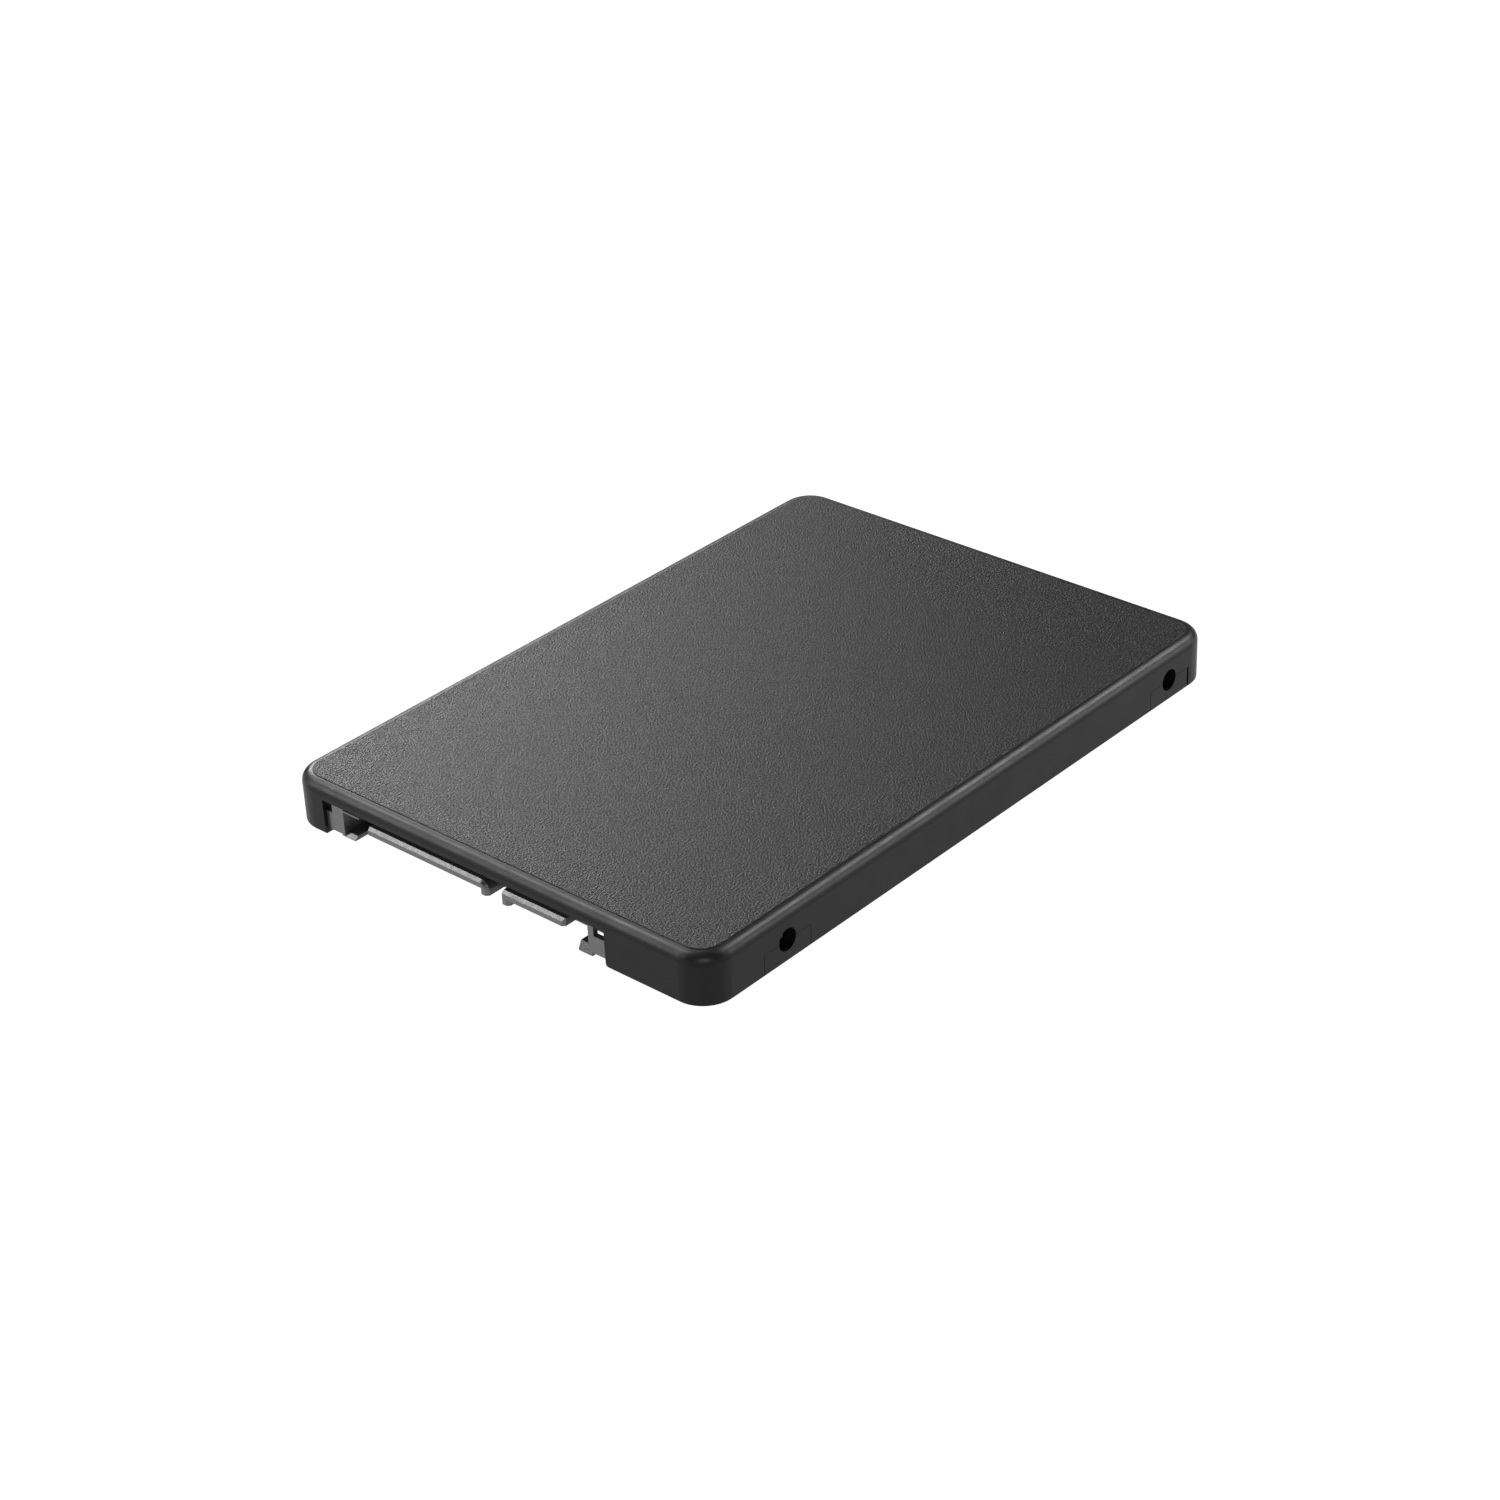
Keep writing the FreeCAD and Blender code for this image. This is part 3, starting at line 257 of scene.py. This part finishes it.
def case_plastic(name):
    """Black moulded plastic: a grained top face, a glossier rounded rim and satin walls."""
    shader = Shader(name)
    _, _, z = shader.axes()
    high = shader.step(z, CASE_TOP - 0.05 * MM, CASE_TOP - 0.01 * MM)
    panel = shader.step(inside_case_outline(shader), PANEL_INSET, PANEL_INSET + PANEL_BLUR)
    grained = shader.math("MULTIPLY", high, panel)
    rim_bottom = CASE_TOP - RIM_GLOSS_DROP
    rounded = shader.step(z, rim_bottom, rim_bottom + RIM_BLUR)
    sideways, backward, _ = shader.parts(shader.coordinates["Normal"])
    # Painted shade: the rim's specular level is turned down where it faces -X, and less so round the
    # corner at the connector end.
    forward = shader.math("MULTIPLY", shader.math("MINIMUM", backward, 0.0), -0.7)
    rim_gloss_and_shade = shader.step(shader.math("ADD", sideways, forward), -0.12, 0.02, 0.05, 0.36)
    coarse = shader.noise(0.27 * MM, detail=1.0)
    fine = shader.noise(0.14 * MM, detail=1.0)
    grain = shader.math("ADD", shader.math("MULTIPLY", coarse, 0.7), shader.math("MULTIPLY", fine, 0.3))
    deep = shader.bump(shader.math("MULTIPLY", grain, grained), 0.12 * MM)
    skin = shader.bump(shader.noise(0.2 * MM, detail=2.0), 0.002 * MM, deep)
    # Painted shade: the low parts of the grain get a darker colour than its raised tops, standing for
    # shade in its hollows.
    grain_shade = shader.math("MULTIPLY", shader.spread(grain, 0.0, 1.0), grained)
    color = shader.blend(grain_shade, grey(PLASTIC_LEVEL * 0.8), grey(PLASTIC_LEVEL * 2.4))
    smooth = shader.spread(shader.noise(3 * MM, detail=3.0), 0.36, 0.44)
    rough = shader.spread(shader.noise(1.2 * MM, detail=3.0), 0.42, 0.5)
    roughness = shader.blend_value(grained, smooth, rough)
    edge_gloss = shader.blend_value(rounded, 0.15, rim_gloss_and_shade)
    # Painted shade: the specular level falls in the low parts of the grain, standing for shade in its
    # hollows.
    gloss = shader.blend_value(grained, edge_gloss, shader.spread(grain, 0.05, 0.33))
    return shader.finish(Base_Color=color, Roughness=roughness, Normal=skin,
                         Specular_IOR_Level=gloss)


def connector_plastic():
    """Dark grey glass-filled nylon whose specular level goes by which way a face turns: painted
    reflection on faces towards the mouth, painted shade on its flanks.
    """
    shader = Shader("connector_plastic")
    fibres = shader.noise(0.15 * MM, detail=3.0, place=shader.stretched(1.0, 0.35, 1.0))
    color = shader.blend(shader.spread(fibres, 0.0, 1.0), grey(0.03), grey(0.05))
    roughness = shader.spread(shader.noise(0.6 * MM, detail=3.0), 0.24, 0.34)
    _, inward, _ = shader.parts(shader.coordinates["Normal"])
    # Painted light: faces towards the front get a strong specular level, a painted reflection, and the
    # flanks a weak one, a painted shade.
    gloss = shader.step(inward, -0.6, -0.3, 1.0, 0.3)
    return shader.finish(Base_Color=color, Roughness=roughness,
                         Normal=shader.bump(fibres, 0.004 * MM), Specular_IOR_Level=gloss)


def brushed_metal(name, color, roughness, stretch):
    """Metal with fine marks drawn out along one axis."""
    shader = Shader(name)
    marks = shader.noise(0.12 * MM, detail=3.0, place=shader.stretched(*stretch))
    tone = shader.blend(shader.spread(marks, 0.0, 1.0), darker(color, 0.82), color)
    gloss = shader.spread(shader.noise(0.5 * MM, detail=3.0), roughness - 0.06, roughness + 0.06)
    return shader.finish(Base_Color=tone, Metallic=1.0, Roughness=gloss,
                         Normal=shader.bump(marks, 0.002 * MM))


def simple_resin(name, color, roughness, size, depth):
    """Moulded or fired material with a fine uneven skin."""
    shader = Shader(name)
    specks = shader.noise(size, detail=3.0)
    tone = shader.blend(shader.spread(specks, 0.0, 1.0), darker(color, 0.8), color)
    gloss = shader.spread(shader.noise(size * 4, detail=2.0), roughness - 0.08, roughness + 0.08)
    return shader.finish(Base_Color=tone, Roughness=gloss, Normal=shader.bump(specks, depth))


def chip_resin():
    """Black moulding resin, with faint rows of laser marks on the level faces."""
    shader = Shader("chip_resin")
    _, _, upward = shader.parts(shader.coordinates["Normal"])
    level = shader.step(upward, 0.9, 0.95)
    words = shader.print_rows(1.1 * MM, 0.5 * MM)
    patches = shader.step(shader.noise(6 * MM, detail=0.0), 0.5, 0.52)
    marks = shader.every(words, patches, level)
    specks = shader.noise(0.1 * MM, detail=3.0)
    resin = shader.blend(shader.spread(specks, 0.0, 1.0), grey(0.02), grey(0.032))
    tone = shader.blend(marks, resin, grey(0.09))
    gloss = shader.spread(shader.noise(0.4 * MM), 0.44, 0.58)
    return shader.finish(Base_Color=tone, Roughness=gloss, Normal=shader.bump(specks, 0.004 * MM))


def label_film():
    """A silver-white label with made-up print: a frame, a dark band, a bar code and rows of words."""
    shader = Shader("label_film")
    low, high = node_box("underside_label")
    x, y, _ = shader.axes()
    width = high.x - low.x
    inset = 1.2 * MM
    line = 0.25 * MM
    band_height = 9 * MM
    margin = low.x + 0.1 * width
    code_right = low.x + 0.55 * width
    code_bottom = low.y + 5 * MM
    code_top = low.y + 11 * MM
    text_right = low.x + 0.8 * width
    text_bottom = low.y + 15 * MM
    text_top = high.y - 13 * MM
    outer = shader.box(x, y, low.x + inset, high.x - inset, low.y + inset, high.y - inset)
    inner = shader.box(x, y, low.x + inset + line, high.x - inset - line,
                       low.y + inset + line, high.y - inset - line)
    border = shader.math("SUBTRACT", outer, inner)
    band = shader.box(x, y, low.x + inset, high.x - inset, high.y - band_height, high.y - inset)
    code = shader.box(x, y, margin, code_right, code_bottom, code_top)
    bar_width = 0.22 * MM
    bar_number = shader.math("FLOOR", shader.math("DIVIDE", x, bar_width))
    random = shader.add("ShaderNodeTexWhiteNoise", {"noise_dimensions": "1D"}, {"W": bar_number})
    bars = shader.math("GREATER_THAN", random.outputs["Value"], 0.5)
    # The block of text starts and ends in the blank half of a row, so no row is cut.
    row = 1.9 * MM
    blank = 0.25
    first_row = math.ceil(text_bottom / row) - blank
    last_row = math.floor(text_top / row) - blank
    text = shader.box(x, y, margin, text_right, first_row * row, last_row * row)
    print_ink = shader.every(shader.print_rows(row, 0.7 * MM), text)
    ink = shader.any(border, band, shader.every(code, bars), print_ink)
    film_grain = shader.noise(0.25 * MM, detail=3.0)
    film = shader.blend(shader.spread(film_grain, 0.0, 1.0), grey(0.56), grey(0.64))
    tone = shader.blend(ink, film, grey(0.03))
    gloss = shader.spread(shader.noise(2 * MM, detail=3.0), 0.28, 0.38)
    return shader.finish(Base_Color=tone, Roughness=gloss, Normal=shader.bump(film_grain, 0.0015 * MM))


def insert_brass():
    """Turned brass, with the turns of the thread inside each screw hole."""
    shader = Shader("insert_brass")
    x, y, z = shader.axes()
    along = shader.centred(y, HOLE_MIDDLE_Y, HOLE_HALF_SPAN_Y)
    across = shader.centred(x, 0.0, HOLE_HALF_SPAN_X)
    rise = shader.math("SUBTRACT", z, HOLE_HEIGHT)
    thread = shader.any(shader.every(shader.within(along, across), shader.turns(z)),
                        shader.every(shader.within(along, rise), shader.turns(x)))
    marks = shader.noise(0.12 * MM, detail=3.0)
    # Painted shade: the brass is given a near-black colour that stands for the shade inside the screw
    # holes.
    color = (0.03, 0.027, 0.02, 1.0)
    tone = shader.blend(shader.spread(marks, 0.0, 1.0), darker(color, 0.82), color)
    gloss = shader.spread(shader.noise(0.5 * MM, detail=3.0), 0.28, 0.4)
    fine = shader.bump(marks, 0.002 * MM)
    return shader.finish(Base_Color=tone, Metallic=1.0, Roughness=gloss,
                         Normal=shader.bump(thread, THREAD_DEPTH, fine))


def board_laminate():
    """Green lacquered board: copper tracks stand a little proud and look paler."""
    shader = Shader("board_laminate")
    x, y, _ = shader.axes()
    grid = 0.35 * MM
    column = shader.math("FLOOR", shader.math("DIVIDE", x, grid))
    row = shader.math("FLOOR", shader.math("DIVIDE", y, grid))
    cell = shader.add("ShaderNodeCombineXYZ", sockets={"X": column, "Y": row}).outputs["Vector"]
    wander = shader.noise(12.0, detail=1.0, place=cell)
    ripple = shader.math("FRACT", shader.math("MULTIPLY", wander, 9.0))
    tracks = shader.math("LESS_THAN", ripple, 0.3)
    weave = shader.noise(0.5 * MM, detail=2.0)
    lacquer = shader.blend(shader.spread(weave, 0.0, 1.0), (0.008, 0.06, 0.03, 1.0),
                           (0.012, 0.08, 0.04, 1.0))
    tone = shader.blend(tracks, lacquer, (0.03, 0.16, 0.08, 1.0))
    gloss = shader.spread(shader.noise(2 * MM, detail=3.0), 0.22, 0.34)
    relief = shader.bump(tracks, 0.02 * MM, shader.bump(weave, 0.004 * MM))
    return shader.finish(Base_Color=tone, Roughness=gloss, Normal=relief)


def capped_component(name, node, color, roughness, axis, length, pitch, cap):
    """Small parts in a row, each with a tinned cap at both ends along one axis."""
    shader = Shader(name)
    low, _ = node_box(node)
    along = shader.axes()[axis]
    turn = shader.math("DIVIDE", shader.math("SUBTRACT", along, low[axis] + length / 2), pitch)
    offset = shader.math("SUBTRACT", shader.math("FRACT", shader.math("ADD", turn, 0.5)), 0.5)
    distance = shader.math("MULTIPLY", shader.math("ABSOLUTE", offset), pitch)
    ends = shader.step(distance, length / 2 - cap, length / 2 - cap + 0.03 * MM)
    specks = shader.noise(0.08 * MM, detail=3.0)
    body = shader.blend(shader.spread(specks, 0.0, 1.0), darker(color, 0.8), color)
    tone = shader.blend(ends, body, grey(0.6))
    gloss = shader.math("ADD", shader.spread(specks, roughness - 0.06, roughness + 0.06),
                        shader.math("MULTIPLY", ends, 0.36 - roughness))
    return shader.finish(Base_Color=tone, Metallic=ends, Roughness=gloss,
                         Normal=shader.bump(specks, 0.003 * MM))


fuse_low, fuse_high = node_box("input_fuse")
FUSE_LENGTH = fuse_high.x - fuse_low.x

MATERIALS = {
    "case_plastic": case_plastic("case_plastic"),
    "base_plastic": case_plastic("base_plastic"),
    "connector_plastic": connector_plastic(),
    "label_film": label_film(),
    "contact_gold": brushed_metal("contact_gold", (0.95, 0.68, 0.3, 1.0), 0.24, (1.0, 0.1, 1.0)),
    "tinned_metal": brushed_metal("tinned_metal", grey(0.6), 0.36, (1.0, 0.3, 1.0)),
    "insert_brass": insert_brass(),
    "screw_steel": brushed_metal("screw_steel", grey(0.12), 0.34, (1.0, 1.0, 1.0)),
    "board_laminate": board_laminate(),
    "chip_resin": chip_resin(),
    "coil_ferrite": simple_resin("coil_ferrite", grey(0.1), 0.55, 0.08 * MM, 0.008 * MM),
    "oscillator_can": brushed_metal("oscillator_can", grey(0.62), 0.3, (0.2, 1.0, 1.0)),
    "fuse_ceramic": capped_component("fuse_ceramic", "input_fuse", (0.5, 0.56, 0.52, 1.0), 0.3,
                                     X_AXIS, FUSE_LENGTH, FUSE_LENGTH, 0.55 * MM),
    "tantalum_resin": capped_component("tantalum_resin", "tantalum_capacitors",
                                       (0.6, 0.36, 0.06, 1.0), 0.45, X_AXIS, TANTALUM_LENGTH,
                                       TANTALUM_PITCH, 0.25 * MM),
    "capacitor_ceramic": capped_component("capacitor_ceramic", "ceramic_capacitors",
                                          (0.32, 0.2, 0.11, 1.0), 0.5, X_AXIS, SMALL_LENGTH,
                                          SMALL_PITCH, 0.22 * MM),
    "resistor_glaze": capped_component("resistor_glaze", "chip_resistors", grey(0.02), 0.2, Y_AXIS,
                                       SMALL_LENGTH, SMALL_PITCH, 0.2 * MM),
    "thermal_gel": simple_resin("thermal_gel", (0.32, 0.36, 0.42, 1.0), 0.7, 0.15 * MM, 0.01 * MM),
}

slot_of = {}
for subpart in frame["record"]["subparts"]:
    slot_of[subpart["node"]] = subpart["material_slot"]
for name, node in frame["nodes"].items():
    for place in node.material_slots:
        place.material = MATERIALS[slot_of[name]]


# Studio.

def floor_paper():
    """White backlit paper, bright enough to leave no shadow."""
    shader = Shader("floor_paper")
    fibres = shader.noise(0.05, detail=2.0)
    color = shader.blend(shader.spread(fibres, 0.0, 1.0), grey(0.14), grey(0.15))
    return shader.finish(Base_Color=color, Roughness=0.9, Specular_IOR_Level=0.1,
                         Emission_Color=grey(1.0), Emission_Strength=FLOOR_GLOW)


def add_floor():
    """A wide round floor, just under the drive."""
    points = []
    for number in range(FLOOR_SIDES):
        turn = 2 * math.pi * number / FLOOR_SIDES
        points.append((FLOOR_RADIUS * math.cos(turn), FLOOR_RADIUS * math.sin(turn), -FLOOR_GAP))
    mesh = bpy.data.meshes.new("floor")
    mesh.from_pydata(points, [], [list(range(FLOOR_SIDES))])
    mesh.materials.append(floor_paper())
    floor = bpy.data.objects.new("floor", mesh)
    bpy.context.scene.collection.objects.link(floor)


def direction(azimuth, elevation):
    """The way from the drive to a place: azimuth 0 is towards -Y and 90 towards +X, in degrees."""
    turn, rise = math.radians(azimuth), math.radians(elevation)
    flat = math.cos(rise)
    return Vector((math.sin(turn) * flat, -math.cos(turn) * flat, math.sin(rise)))


def add_softbox(name, azimuth, elevation, size, power):
    """A square soft light that faces the drive."""
    light = bpy.data.lights.new(name, "AREA")
    light.shape = "SQUARE"
    light.size = size
    light.energy = power
    lamp = bpy.data.objects.new(name, light)
    bpy.context.scene.collection.objects.link(lamp)
    away = direction(azimuth, elevation)
    lamp.location = away * LIGHT_DISTANCE
    lamp.rotation_mode = "QUATERNION"
    lamp.rotation_quaternion = away.to_track_quat("Z", "Y")


def add_camera():
    away = direction(CAMERA_AZIMUTH, CAMERA_ELEVATION)
    right = Vector((0, 0, 1)).cross(away).normalized()
    up = away.cross(right)
    turned = Matrix.Rotation(math.radians(CAMERA_ROLL), 3, away)
    axes = Matrix((turned @ right, turned @ up, away)).transposed()
    data = bpy.data.cameras.new("camera")
    data.lens = CAMERA_LENS
    data.sensor_width = SENSOR_WIDTH
    data.clip_start = CLIP_START
    data.clip_end = CLIP_END
    camera = bpy.data.objects.new("camera", data)
    bpy.context.scene.collection.objects.link(camera)
    camera.matrix_world = Matrix.Translation(CAMERA_AIM + away * CAMERA_DISTANCE) @ axes.to_4x4()
    bpy.context.scene.camera = camera


def set_world():
    world = bpy.data.worlds.new("studio")
    world.use_nodes = True
    background = world.node_tree.nodes["Background"]
    background.inputs["Color"].default_value = (1.0, 1.0, 1.0, 1.0)
    background.inputs["Strength"].default_value = WORLD_LEVEL
    bpy.context.scene.world = world


add_floor()
add_softbox("front_light", 45, 26, 0.5, 3.5)
add_softbox("right_back_light", 135, 20, 0.5, 4.2)
add_softbox("high_right_back_light", 158, 44, 0.3, 5.2)
add_softbox("high_back_light", 175, 47, 0.3, 2.6)
add_softbox("low_left_back_light", 225, 12, 0.3, 0.7)
add_softbox("left_back_light", 240, 20, 0.3, 8.4)
add_softbox("high_left_light", 272, 55, 0.3, 4.2)
add_softbox("high_front_left_light", 285, 50, 0.3, 3.3)
add_softbox("lead_in_light", 311, 40, 0.25, 1.8)
add_softbox("front_left_light", 315, 22, 0.5, 4.6)
set_world()
add_camera()
bpy.context.scene.view_settings.view_transform = "Standard"
